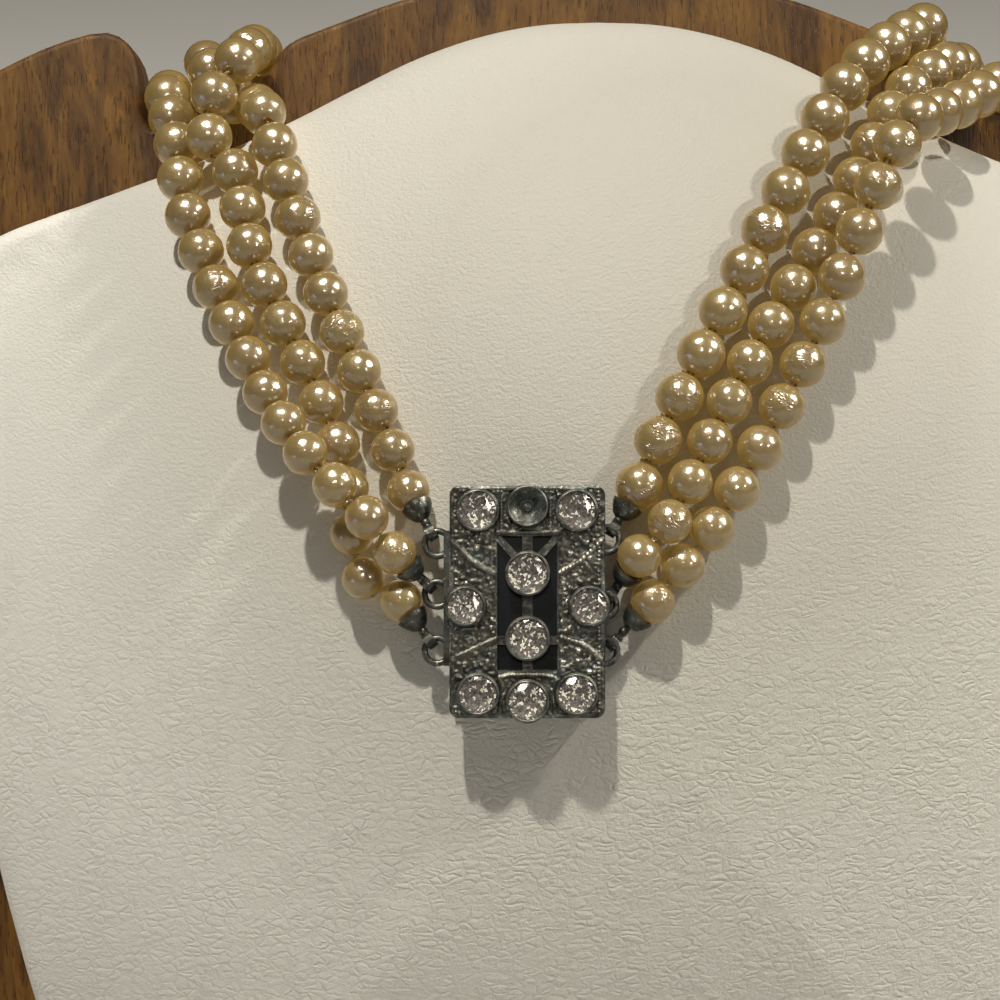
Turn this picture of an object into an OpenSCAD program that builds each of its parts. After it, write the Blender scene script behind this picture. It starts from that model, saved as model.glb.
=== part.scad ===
// Three strand pearl necklace with a rhinestone box clasp, hung on a padded display bust.
// The display board leans back and stands in a wooden base; the origin is the middle
// of the underside of the base, x across, front faces -y, z up, millimetres.

/* [Pearls] */
// diameter of the pearls at the middle of the back
pearl_big = 6.6; // [6.2:0.05:6.6]
// diameter of the hole drilled through every pearl
bore_d = 1.0; // [0.8:0.05:1.1]
// diameter of the stringing thread
thread_d = 0.3; // [0.3:0.05:0.5]

/* [Clasp] */
// width of the clasp's front plate
plate_w = 15.6; // [15.4:0.1:16]
// height of the clasp's front plate
plate_h = 23.3; // [23:0.1:24]
// thickness of the front plate
plate_t = 0.8; // [0.6:0.1:1]
// diameter of the stones set in the corners
stone_d = 3.7; // [3.4:0.1:3.8]
// diameter of the two raised stones in the middle
mid_stone_d = 3.9; // [3.6:0.1:4]

/* [Display] */
// angle the board leans back from upright
lean = 20; // [18:1:22]
// thickness of the wooden board
board_t = 10; // [8:0.5:11]
// width of the wooden base
base_w = 150; // [140:5:170]
// depth of the wooden base, front to back
base_d = 120; // [110:5:130]
// thickness of the wooden base
base_t = 14; // [12:1:18]

/* [Hidden] */
$fn = 48;
// place of the board's foot, and of the clasp's middle on the board's face
face_y = -25;
face_z = 9;
clasp_u = -8.33;
clasp_v = 86.6;
fit_gap = 0.25;
pad_gap = 0.15;
foot_w = 128;
groove_up = 40;

// pad: a dome of this radius whose top stands this far off the board, at this height
dome_r = 115;
dome_top = 33;
dome_v = 80;
pad_rim = 3;

// half outlines, [across, up the board], mirrored left to right
board_edge = [[0, 157.6], [8, 157.2], [16, 155.6], [23, 153.8], [29, 151.6], [33.5, 149.9],
    [35.2, 149], [36.2, 148], [38.5, 144.7], [45, 141.6], [49.5, 139.4], [51.1, 139.3],
    [52, 141], [52.4, 146], [53.6, 149], [56, 150.3], [60, 149.6], [66, 147.2],
    [74, 142.5], [80, 136], [83.5, 128], [85, 118], [84, 108], [79, 84], [62, 4], [60, 0.6], [56, 0]];
pad_edge = [[0, 150], [6.5, 149.7], [13, 148.4], [20, 145.9], [27, 142.4], [34, 138.8],
    [41, 135.8], [48, 133.4], [54, 131.6], [62, 129.2], [70, 125.5], [75.5, 118],
    [77.5, 108], [75, 92], [57, 12], [55.5, 8.8], [52, 7.6]];

// clasp levels, measured out from the board's face
box_low = 33.2;
box_high = 35.8;
box_w = 14.2;
box_h = 22.6;
wall = 0.6;
link_w = 34.5;
plate_top = box_high + plate_t;
ring_r = 1.27;
ring_wire = 0.33;
loop_in = 0.6;
loop_out = 0.85;
loop_w = 1.0;
// the tongue's two spring leaves, its end block and the bead at their fold
leaf_w = 13;
leaf_low = 33.98;
leaf_high = 34.72;
leaf_t = 0.3;
leaf_long = 11.3;
cup_rim = 1.65;
cup_mouth = 1.4;
stone_gap = 0.06;

// stones, [across, up, diameter, height of the seat over the plate]
stones = [[-4.95, 9.2, stone_d, 0], [4.95, 9.2, stone_d, 0], [-6.2, -0.4, stone_d - 0.2, 0],
    [6.2, -0.4, stone_d - 0.2, 0], [0, 2.9, mid_stone_d, 0.35], [0, -3.6, mid_stone_d, 0.35],
    [-4.95, -9.2, stone_d, 0], [0, -9.9, stone_d + 0.1, 0], [4.95, -9.2, stone_d, 0]];
open_cup = [0, 9.6, 4.1];

// end rings, [across, up] from the clasp's middle, on the tongue at the left and on the box at the right
left_rings = [[-9.07, 5.8], [-9.07, 0.7], [-9.07, -5]];
right_rings = [[8.03, 6.2], [7.73, -0.4], [7.83, -5.1]];

// strings, [number of pearls, first diameter at the left end, first at the right end]
counts = [[66, 4.4, 4.9], [69, 4.4, 4.45], [70, 4.35, 4.45]];

// routes of the strings, [across, up the board, out from its face]
route_top = [[-20.4, 97.7, 32.5], [-22.5, 103.1, 31.2], [-30.4, 121.1, 24.1],
    [-37.8, 141.2, 11.1], [-38.6, 139, 4.9], [-43, 144.2, 3.1], [-45, 147.3, -3.4],
    [-43.2, 143.6, -12.1], [-40.4, 124.5, -18.9], [-33.2, 97.7, -29.9], [-19.5, 69.8, -41.7],
    [-6.5, 63.2, -45.6], [4.4, 64.6, -45.7], [17.8, 77.7, -39.8], [29.8, 108.2, -27.1],
    [35.8, 135, -18], [38.3, 146.7, -13.9], [38.3, 150, -8], [38.2, 151.5, -2.9],
    [27.1, 142.6, 14.2], [14.9, 121.9, 27.3], [5.3, 103.6, 33.4], [3, 98.2, 34.2]];
route_middle = [[-21.7, 91.5, 35.3], [-25.1, 95.8, 36.2], [-30.4, 101.1, 34.5],
    [-35.9, 108.9, 27.9], [-44.8, 127.5, 16.1], [-46.8, 136.3, 10], [-49.1, 143.3, -0.3],
    [-48.9, 142.2, -11.2], [-47.5, 131.4, -17.3], [-40.9, 107, -30.3], [-26.5, 80.2, -44.2],
    [-11.6, 69.5, -49.9], [0, 68.2, -51.2], [10.8, 72.1, -50.1], [23.9, 83.9, -43.5],
    [37, 113.5, -27.8], [43.4, 144.3, -12.8], [40.6, 146.3, 1.2], [33, 141, 13],
    [25.7, 128.9, 22.1], [14.1, 110.2, 31.1], [4.9, 92.8, 36.7], [2.9, 91.2, 36.2]];
route_low = [[-21.1, 86.6, 33.7], [-25.1, 89.1, 32.6], [-27.7, 102.5, 30.1],
    [-37.2, 122.5, 21.9], [-39.9, 132.7, 15.4], [-43.4, 138, 13.1], [-39.9, 145.9, 8.2],
    [-38.8, 147.9, -11.7], [-35.2, 128.1, -19.9], [-25.6, 96.4, -30.6], [-16.5, 78.3, -36.6],
    [-1.3, 67.4, -39.1], [11.5, 67, -37], [26.6, 78.4, -35.4], [41.3, 110.2, -24.1],
    [46.5, 127.6, -18.6], [49.2, 142.4, -14.1], [46.7, 144.1, 0.8], [37.9, 139.3, 14.9],
    [31.1, 135.1, 24.9], [21.6, 114, 29.9], [11.4, 95.5, 34.2], [4.3, 86.6, 35.2]];

// curves
function unit(v) = v / norm(v);
function slope(p, i) = i == 0 ? unit(p[1] - p[0])
    : i == len(p) - 1 ? unit(p[i] - p[i - 1])
    : (p[i + 1] - p[i - 1]) / (norm(p[i + 1] - p[i]) + norm(p[i] - p[i - 1]));
function between(a, b, ta, tb, s) = let (h = norm(b - a))
    (2 * s * s * s - 3 * s * s + 1) * a + (s * s * s - 2 * s * s + s) * h * ta
    + (3 * s * s - 2 * s * s * s) * b + (s * s * s - s * s) * h * tb;
function smooth(p, step) = concat([for (i = [0 : len(p) - 2])
    let (m = max(2, ceil(norm(p[i + 1] - p[i]) / step)), ta = slope(p, i), tb = slope(p, i + 1))
    for (k = [0 : m - 1]) between(p[i], p[i + 1], ta, tb, k / m)], [p[len(p) - 1]]);

// pearls along a route: each centre is the sum of two radii and the gap from the last
function pearl_d(s, i) = let (m = (s[0] - 1) / 2)
    i <= m ? s[1] + (pearl_big - s[1]) * i / m : s[2] + (pearl_big - s[2]) * (s[0] - 1 - i) / m;
function reach(r, k, p, d) = k >= len(r) - 1 || norm(r[k] - p) >= d ? k : reach(r, k + 1, p, d);
function cut(a, b, p, d) = let (da = norm(a - p), db = norm(b - p))
    db > da ? a + (b - a) * (d - da) / (db - da) : b;
function pitch(s, i, gap) = (pearl_d(s, i) + pearl_d(s, i + 1)) / 2 + gap;
function walk(r, s, gap) = [for (i = 0, k = 1, p = r[0]; i < s[0];
    k = i < s[0] - 1 ? reach(r, k, p, pitch(s, i, gap)) : k,
    p = i < s[0] - 1 ? cut(r[k - 1], r[k], p, pitch(s, i, gap)) : p, i = i + 1) p];
function left_over(r, c) = let (n = len(c)) (r[len(r) - 1] - c[n - 1]) * unit(c[n - 1] - c[n - 2]);
function spread(r, s, gap, turns) = turns == 0 ? walk(r, s, gap)
    : spread(r, s, gap + left_over(r, walk(r, s, gap)) / (s[0] - 1), turns - 1);
function pearls_on(route, s) = spread(smooth(route, 0.5), s, 0.15, 2);
function ring_at(p) = [clasp_u + p[0], clasp_v + p[1], link_w];
function axis_at(c, i, a, b) = unit((i == len(c) - 1 ? b : c[i + 1]) - (i == 0 ? a : c[i - 1]));

// frames
module face() translate([0, face_y, face_z]) rotate([90 - lean, 0, 0]) children();
module clasp() face() translate([clasp_u, clasp_v, 0]) children();
module along(p, d) translate(p) rotate([0, acos(d[2]), atan2(d[1], d[0])]) children();
module rounded(w, h, r) {
    square([w - 2 * r, h], center = true);
    square([w, h - 2 * r], center = true);
    for (x = [-1, 1], y = [-1, 1]) translate([x * (w / 2 - r), y * (h / 2 - r)]) circle(r);
}
function mirrored(p) = concat(p, [for (i = [len(p) - 1 : -1 : 1]) [-p[i][0], p[i][1]]]);

// necklace
module pearls(c, s, a, b) color([0.72, 0.62, 0.42]) face()
    for (i = [0 : len(c) - 1]) along(c[i], axis_at(c, i, a, b)) difference() {
        sphere(d = pearl_d(s, i));
        cylinder(h = pearl_d(s, i) + 1, d = bore_d, center = true);
    }

// rings of the thread: a knot in the left cup, both mouths of every pearl, a knot again
function link_point(q, c) = let (o = ring_at(q)) o + ring_r * unit([c[0] - o[0], c[1] - o[1], 0]);
function stops(c, s, a, b) = let (n = len(c), ra = pearl_d(s, 0) / 2, rb = pearl_d(s, n - 1) / 2,
    da = unit(a - c[0]), db = unit(b - c[n - 1]), t = thread_d / 2) concat(
    [[c[0] + da * (ra + 0.75), t], [c[0] + da * (ra + 0.62), 0.45], [c[0] + da * (ra + 0.3), 0.45],
     [c[0] + da * (ra + 0.18), t]],
    [for (i = [0 : n - 1]) let (d = axis_at(c, i, a, b), r = 0.99 * pearl_d(s, i) / 2)
        for (k = [-1, 1]) [c[i] + k * r * d, t]],
    [[c[n - 1] + db * (rb + 0.18), t], [c[n - 1] + db * (rb + 0.3), 0.45],
     [c[n - 1] + db * (rb + 0.62), 0.45], [c[n - 1] + db * (rb + 0.75), t]]);
function headings(p) = let (n = len(p)) [for (i = [0 : n - 1])
    unit(unit(p[min(i + 1, n - 1)][0] - p[max(i, 0) == n - 1 ? n - 2 : i][0])
       + unit(p[i == 0 ? 1 : i][0] - p[max(i - 1, 0)][0]))];
function across(n, d) = unit(n - (n * d) * d);
function sides_of(h) = [for (i = 0, n = across([0.3, 0.2, 1], h[0]); i < len(h);
    i = i + 1, n = i < len(h) ? across(n, h[i]) : n) n];
module thread(c, s, a, b) color([0.86, 0.82, 0.7]) face() {
    p = stops(c, s, a, b);
    h = headings(p);
    n = sides_of(h);
    m = 6;
    polyhedron(points = [for (i = [0 : len(p) - 1], k = [0 : m - 1])
            p[i][0] + p[i][1] * (cos(60 * k) * n[i] + sin(60 * k) * cross(h[i], n[i]))],
        faces = concat([[for (k = [m - 1 : -1 : 0]) k]],
            [[for (k = [0 : m - 1]) (len(p) - 1) * m + k]],
            [for (i = [0 : len(p) - 2], k = [0 : m - 1]) [i * m + k, i * m + (k + 1) % m, (i + 1) * m + k]],
            [for (i = [0 : len(p) - 2], k = [0 : m - 1])
                [i * m + (k + 1) % m, (i + 1) * m + (k + 1) % m, (i + 1) * m + k]]));
}

// bead tip: a flat loop round the end ring, a small ball and a bell over the first pearl
module tip(q, c, d) color([0.4, 0.4, 0.36]) face() {
    o = link_point(q, c);
    e = unit(c - o);
    t = unit(cross([0, 0, 1], e));
    x = cross(t, e);
    rim = norm(c - o) - sqrt(pow(d / 2 + 0.14, 2) - pow(cup_mouth, 2));
    multmatrix([[x[0], t[0], e[0], o[0]], [x[1], t[1], e[1], o[1]], [x[2], t[2], e[2], o[2]],
        [0, 0, 0, 1]]) union() {
        rotate([90, 0, 0]) difference() {
            cylinder(h = loop_w, r = loop_out, center = true);
            cylinder(h = loop_w + 1, r = loop_in, center = true);
        }
        translate([0, 0, loop_out - 0.12]) cylinder(h = rim - 1.5 - loop_out, r = 0.34);
        translate([0, 0, (loop_out + rim - 1.7) / 2]) sphere(r = 0.5);
        translate([0, 0, rim]) rotate_extrude() polygon([[0, -1.75], [0.5, -1.75], [0.98, -1.4],
            [1.32, -0.9], [1.56, -0.4], [cup_rim, 0], [cup_mouth, 0], [1.3, -0.4], [1.08, -0.85],
            [0.72, -1.22], [0, -1.42]]);
    }
}

// clasp
module end_ring(p) translate([p[0], p[1], link_w])
    rotate_extrude() translate([ring_r, 0]) circle(ring_wire, $fn = 24);
module rib(a, b, w, h) translate([a[0], a[1], plate_top - 0.1])
    rotate([0, 0, atan2(b[1] - a[1], b[0] - a[0])]) translate([0, -w / 2, 0]) cube([norm(b - a), w, h + 0.1]);
module setting(s) translate([s[0], s[1], plate_top - 0.1]) cylinder(h = 1.05 + s[3], d = s[2] + 0.5);
module seat(s) translate([s[0], s[1], plate_top + 0.3 + s[3]]) cylinder(h = 4, d = s[2] + 2 * stone_gap);
win = [3.05, 6.6, -6.9];
module plate_window() difference() {
    translate([-win[0], win[2], 0]) square([2 * win[0], win[1] - win[2]]);
    translate([-0.75, win[2] - 1]) square([1.5, win[1] - win[2] + 2]);
    translate([0, -3.9]) square([2 * win[0] + 2, 0.8], center = true);
    for (k = [-1, 1]) translate([k * win[0], win[1], 0])
        rotate([0, 0, k > 0 ? 229 : 311]) translate([-1, -0.35]) square([5, 0.7]);
}
module clasp_box() color([0.33, 0.34, 0.32]) clasp() difference() {
    union() {
        difference() {
            translate([0, 0, box_low]) linear_extrude(box_high - box_low) rounded(box_w, box_h, 0.9);
            translate([0, 0, box_low + 0.5]) linear_extrude(box_high - box_low - 0.9)
                rounded(box_w - 2 * wall, box_h - 2 * wall, 0.4);
            translate([-box_w / 2, 0.3, (33.85 + 35.15) / 2]) cube([3, 15.4, 1.3], center = true);
        }
        difference() {
            translate([0, 0, box_high]) linear_extrude(plate_t) rounded(plate_w, plate_h, 1);
            translate([0, 0, box_high + 0.05]) linear_extrude(plate_t) plate_window();
        }
        translate([0, 0, plate_top - 0.1]) linear_extrude(0.35) difference() {
            rounded(plate_w, plate_h, 1);
            rounded(plate_w - 0.8, plate_h - 0.8, 0.6);
        }
        translate([0, 0, plate_top - 0.1]) linear_extrude(0.32) difference() {
            translate([-win[0] - 0.55, win[2] - 0.55]) square([2 * win[0] + 1.1, win[1] - win[2] + 1.1]);
            translate([-win[0] - 0.1, win[2] - 0.1]) square([2 * win[0] + 0.2, win[1] - win[2] + 0.2]);
        }
        for (k = [-1, 1]) {
            rib([k * (plate_w / 2 - 0.4), 6.3], [k * (win[0] + 0.2), 2.9], 0.7, 0.5);
            rib([k * (plate_w / 2 - 0.4), -5.9], [k * (win[0] + 0.2), -3.7], 0.7, 0.45);
        }
        for (s = stones) setting(s);
        setting([open_cup[0], open_cup[1], open_cup[2] - 0.5, 0]);
        for (p = right_rings) end_ring(p);
    }
    for (s = stones) seat(s);
    translate([open_cup[0], open_cup[1], plate_top - 0.25]) cylinder(h = 1.6, r1 = 0.7, r2 = 2.3);
}
module clasp_tongue() color([0.38, 0.38, 0.35]) clasp() {
    x0 = -box_w / 2 - 0.12;
    union() {
        translate([x0 - 1.2, -6.5, 33.5]) cube([1.2, leaf_w + 0.6, 2]);
        translate([x0 - 0.1, -6.2, leaf_low]) cube([leaf_long + 0.1, leaf_w, leaf_t]);
        translate([x0 + 1.3, -6.2, leaf_high]) cube([leaf_long - 1.3, leaf_w, leaf_t]);
        translate([x0 + leaf_long, leaf_w - 6.2, (leaf_low + leaf_high + leaf_t) / 2]) rotate([90, 0, 0])
            linear_extrude(leaf_w) difference() {
            circle(0.52);
            circle(0.22);
            translate([-1, -1]) square([1, 2]);
        }
        for (p = left_rings) end_ring(p);
    }
}
module stone(s) color([0.93, 0.9, 0.9]) clasp()
    translate([s[0], s[1], plate_top + 0.3 + s[3] + stone_gap]) {
        cylinder(h = 0.5, d1 = 0.45 * s[2], d2 = s[2], $fn = 12);
        translate([0, 0, 0.5]) cylinder(h = 0.06, d = s[2], $fn = 12);
        translate([0, 0, 0.56]) cylinder(h = 0.5, d1 = s[2], d2 = 0.58 * s[2], $fn = 12);
    }

// display
module pad() color([0.87, 0.84, 0.77]) face() intersection() {
    union() {
        translate([0, dome_v, dome_top - dome_r]) sphere(dome_r, $fn = 128);
        translate([-dome_r, 0, 0]) cube([2 * dome_r, 2 * dome_r, pad_rim]);
    }
    translate([0, 0, pad_gap]) linear_extrude(dome_top + 5) polygon(mirrored(smooth(pad_edge, 4)));
}
module board_shape() translate([0, 0, -board_t]) linear_extrude(board_t)
    polygon(mirrored(smooth(board_edge, 3)));
module board() color([0.42, 0.3, 0.2]) face() board_shape();
module base() color([0.4, 0.28, 0.19]) difference() {
    linear_extrude(base_t) rounded(base_w, base_d, 12);
    face() translate([-foot_w / 2 - fit_gap, -fit_gap, -board_t - fit_gap])
        cube([foot_w + 2 * fit_gap, groove_up, board_t + 2 * fit_gap]);
}

c_top = pearls_on(route_top, counts[0]);
c_middle = pearls_on(route_middle, counts[1]);
c_low = pearls_on(route_low, counts[2]);
ends_top = [link_point(left_rings[0], c_top[0]), link_point(right_rings[0], c_top[65])];
ends_middle = [link_point(left_rings[1], c_middle[0]), link_point(right_rings[1], c_middle[68])];
ends_low = [link_point(left_rings[2], c_low[0]), link_point(right_rings[2], c_low[69])];

pearls(c_top, counts[0], ends_top[0], ends_top[1]);  // pearls_top
pearls(c_middle, counts[1], ends_middle[0], ends_middle[1]);  // pearls_middle
pearls(c_low, counts[2], ends_low[0], ends_low[1]);  // pearls_low
thread(c_top, counts[0], ends_top[0], ends_top[1]);  // thread_top
thread(c_middle, counts[1], ends_middle[0], ends_middle[1]);  // thread_middle
thread(c_low, counts[2], ends_low[0], ends_low[1]);  // thread_low
clasp_box();
clasp_tongue();
stone(stones[0]);  // stone_top_left
stone(stones[1]);  // stone_top_right
stone(stones[2]);  // stone_side_left
stone(stones[3]);  // stone_side_right
stone(stones[4]);  // stone_mid_upper
stone(stones[5]);  // stone_mid_lower
stone(stones[6]);  // stone_low_left
stone(stones[7]);  // stone_low_mid
stone(stones[8]);  // stone_low_right
tip(left_rings[0], c_top[0], pearl_d(counts[0], 0));  // tip_top_left
tip(left_rings[1], c_middle[0], pearl_d(counts[1], 0));  // tip_middle_left
tip(left_rings[2], c_low[0], pearl_d(counts[2], 0));  // tip_low_left
tip(right_rings[0], c_top[65], pearl_d(counts[0], 65));  // tip_top_right
tip(right_rings[1], c_middle[68], pearl_d(counts[1], 68));  // tip_middle_right
tip(right_rings[2], c_low[69], pearl_d(counts[2], 69));  // tip_low_right
pad();
board();
base();
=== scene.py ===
import math
import random

import bmesh
import bpy
import numpy as np
from mathutils import Matrix, Vector


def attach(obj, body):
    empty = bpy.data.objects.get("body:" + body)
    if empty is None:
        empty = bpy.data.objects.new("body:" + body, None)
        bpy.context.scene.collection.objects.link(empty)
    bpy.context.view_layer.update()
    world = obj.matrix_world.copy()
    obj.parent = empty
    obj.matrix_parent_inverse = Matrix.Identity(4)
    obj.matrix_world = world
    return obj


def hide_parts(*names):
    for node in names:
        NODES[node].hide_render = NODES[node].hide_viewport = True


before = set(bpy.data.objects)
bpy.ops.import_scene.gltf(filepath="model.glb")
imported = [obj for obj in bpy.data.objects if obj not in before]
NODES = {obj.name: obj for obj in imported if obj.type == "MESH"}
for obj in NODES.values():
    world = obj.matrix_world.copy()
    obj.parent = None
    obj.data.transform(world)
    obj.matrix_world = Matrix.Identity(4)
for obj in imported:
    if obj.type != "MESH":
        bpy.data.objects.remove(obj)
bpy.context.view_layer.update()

MM = 0.001
# lean of the board, and the foot of its face in the shared frame
LEAN = math.radians(20)
FACE = Vector((0, -25 * MM, 9 * MM))
# the camera's place on the board (across, up, out) in millimetres, and its lens in picture widths
CAMERA = (-11.07, 96.8, 297)
LENS = 2.6
# the clasp's middle on the board, and how far its front plate stands off the board
CLASP_U, CLASP_V, PLATE_TOP = -8.33, 86.6, 36.6
# half the front plate's width and height
EDGE_X, EDGE_Y = 7.8, 11.65
# the window in the plate: half width, top and bottom
WIN = (3.05, 6.6, -6.9)
# the empty setting: across, up, radius
CUP = (0.0, 9.6, 1.85)
# the pad: radius of its dome, how far the dome's top stands out, its height up the board, its rim
DOME_R, DOME_TOP, DOME_V, PAD_RIM = 115, 33, 80, 3.0
ACROSS = Vector((1, 0, 0))
UP = Vector((0, math.sin(LEAN), math.cos(LEAN)))
OUT = Vector((0, -math.cos(LEAN), math.sin(LEAN)))
rng = random.Random(7)


def at(u, v, w):
    """A point given in millimetres across, up and out from the board's face."""
    return FACE + (ACROSS * u + UP * v + OUT * w) * MM


BOARD = Matrix(((1, 0, 0, 0), (0, UP.y, OUT.y, FACE.y), (0, UP.z, OUT.z, FACE.z), (0, 0, 0, 1)))
TO_BOARD = BOARD.inverted()


class Tree:
    """Short calls for building a shader."""

    def __init__(self, name):
        self.mat = bpy.data.materials.new(name)
        self.mat.use_nodes = True
        self.t = self.mat.node_tree
        self.t.nodes.clear()
        self.out = self.t.nodes.new("ShaderNodeOutputMaterial")
        self.bsdf = self.t.nodes.new("ShaderNodeBsdfPrincipled")
        self.t.links.new(self.bsdf.outputs[0], self.out.inputs[0])

    def new(self, kind, **values):
        n = self.t.nodes.new("ShaderNode" + kind)
        for k, v in values.items():
            setattr(n, k, v)
        return n

    def link(self, a, b):
        self.t.links.new(a, b)

    def put(self, socket, value):
        if isinstance(value, bpy.types.NodeSocket):
            self.t.links.new(value, socket)
        else:
            socket.default_value = value

    def set(self, **values):
        for k, v in values.items():
            self.put(self.bsdf.inputs[k.replace("_", " ")], v)

    def attr(self, name):
        return self.new("Attribute", attribute_name=name)

    def math(self, op, a, b=0.0, c=0.0, clamp=False):
        n = self.new("Math", operation=op, use_clamp=clamp)
        for i, v in enumerate((a, b, c)):
            self.put(n.inputs[i], v)
        return n.outputs[0]

    def vmath(self, op, a, b=(0, 0, 0)):
        n = self.new("VectorMath", operation=op)
        self.put(n.inputs[0], a)
        self.put(n.inputs[1], b)
        return n.outputs[0]

    def scale(self, v, xyz):
        return self.vmath("MULTIPLY", v, xyz)

    def noise(self, v, scale, detail=3.0, rough=0.5, dist=0.0):
        n = self.new("TexNoise")
        self.put(n.inputs["Vector"], v)
        n.inputs["Scale"].default_value = scale
        n.inputs["Detail"].default_value = detail
        n.inputs["Roughness"].default_value = rough
        n.inputs["Distortion"].default_value = dist
        return n.outputs["Fac"]

    def voronoi(self, v, scale, feature="F1"):
        n = self.new("TexVoronoi", feature=feature)
        self.put(n.inputs["Vector"], v)
        n.inputs["Scale"].default_value = scale
        return n.outputs["Distance"]

    def ramp(self, fac, stops):
        n = self.new("ValToRGB")
        self.put(n.inputs[0], fac)
        e = n.color_ramp.elements
        while len(e) < len(stops):
            e.new(0.5)
        for k, (p, c) in enumerate(stops):
            e[k].position = p
            e[k].color = (*c, 1)
        return n.outputs[0]

    def mix(self, fac, a, b):
        n = self.new("Mix", data_type="RGBA")
        self.put(n.inputs[0], fac)
        self.put(n.inputs[6], a if not isinstance(a, tuple) else (*a, 1)[:4])
        self.put(n.inputs[7], b if not isinstance(b, tuple) else (*b, 1)[:4])
        return n.outputs[2]

    def remap(self, v, a, b, c=0.0, d=1.0):
        n = self.new("MapRange")
        self.put(n.inputs[0], v)
        for i, x in enumerate((a, b, c, d)):
            n.inputs[i + 1].default_value = x
        return n.outputs[0]

    def bump(self, height, strength, distance):
        n = self.new("Bump")
        self.put(n.inputs["Height"], height)
        n.inputs["Strength"].default_value = strength
        n.inputs["Distance"].default_value = distance
        return n.outputs[0]


# materials
def pearl_material(name, worn):
    """Glossy imitation pearl with painted shade round its holes and a painted amber glow; the worn one has
    a wrinkled, chipped coat.
    """
    t = Tree(name)
    local = t.attr("bead_local").outputs["Vector"]
    rand = t.attr("bead_rand").outputs["Fac"]
    shift = t.vmath("ADD", local, t.scale(t.attr("bead_seed").outputs["Vector"], (9, 9, 9)))
    facing = t.new("LayerWeight")
    facing.inputs["Blend"].default_value = 0.35
    cloud = t.noise(shift, 1.7, 2, 0.55)
    # colour by how squarely the pearl faces the camera: partly its own amber, partly painted light, the
    # lighter outermost stop being a painted rim of light shining through the edge
    tone = t.ramp(facing.outputs["Facing"], [
        (0.0, (0.27, 0.2, 0.09)), (0.3, (0.265, 0.192, 0.065)),
        (0.7, (0.26, 0.16, 0.028)), (1.0, (0.34, 0.225, 0.055)),
    ])
    tone = t.mix(t.remap(cloud, 0.38, 0.65, 0.0, 0.65), tone, (0.235, 0.155, 0.09))
    tone = t.mix(t.math("MULTIPLY", rand, 0.35), tone, (0.36, 0.28, 0.12))
    z = t.new("SeparateXYZ")
    t.link(local, z.inputs[0])
    pole = t.math("ABSOLUTE", z.outputs[2])
    # darker round each hole: painted shade where a pearl meets its neighbours
    edge = t.remap(t.math("ADD", pole, t.math("MULTIPLY", cloud, 0.06)), 0.93, 1.02, 0.0, 0.8)
    tone = t.mix(edge, tone, (0.17, 0.09, 0.024))
    height = t.math("MULTIPLY", cloud, 0.5)
    if worn:
        near_hole = t.remap(pole, 0.6, 0.95, -0.2, 0.1)
        spot = t.remap(t.math("ADD", t.noise(shift, 4, 1, 0.5), near_hole), 0.69, 0.71)
        spot = t.math("MULTIPLY", spot, t.attr("bead_nick").outputs["Fac"], clamp=True)
        tone = t.mix(spot, tone, (0.05, 0.022, 0.01))
        fold = t.noise(t.scale(shift, (1, 1, 2.4)), 1.3, 1, 0.5, 0.7)
        crest = t.remap(t.math("ABSOLUTE", t.math("SUBTRACT", fold, 0.5)), 0.09, 0.0)
        wrinkle = t.math("MULTIPLY", crest, t.remap(cloud, 0.46, 0.6), clamp=True)
        wrinkle = t.math("MULTIPLY", wrinkle, t.attr("bead_wrinkle").outputs["Fac"])
        height = t.math("ADD", height, t.math("MULTIPLY", wrinkle, 0.34))
        height = t.math("SUBTRACT", height, t.math("MULTIPLY", spot, 0.4))
    t.set(Base_Color=tone, Metallic=0.1, Roughness=0.32, IOR=1.5)
    t.set(Coat_Weight=1.0, Coat_Roughness=0.09, Coat_IOR=1.6)
    # painted glow: emission stands in for light passing through a pearl, leaving it amber on the side
    # towards the board
    under = t.new("VectorMath", operation="DOT_PRODUCT")
    t.link(t.new("NewGeometry").outputs["Normal"], under.inputs[0])
    under.inputs[1].default_value = (0.0, -0.94, 0.342)
    painted_glow = t.remap(under.outputs["Value"], 0.75, -0.1, 0.012, 0.15)
    t.set(Emission_Color=(1.0, 0.57, 0.07, 1), Emission_Strength=painted_glow)
    t.mat.cycles.emission_sampling = "NONE"
    b = t.bump(height, 1.0, 0.00022)
    t.link(b, t.bsdf.inputs["Normal"])
    t.link(b, t.bsdf.inputs["Coat Normal"])
    return t.mat


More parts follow.
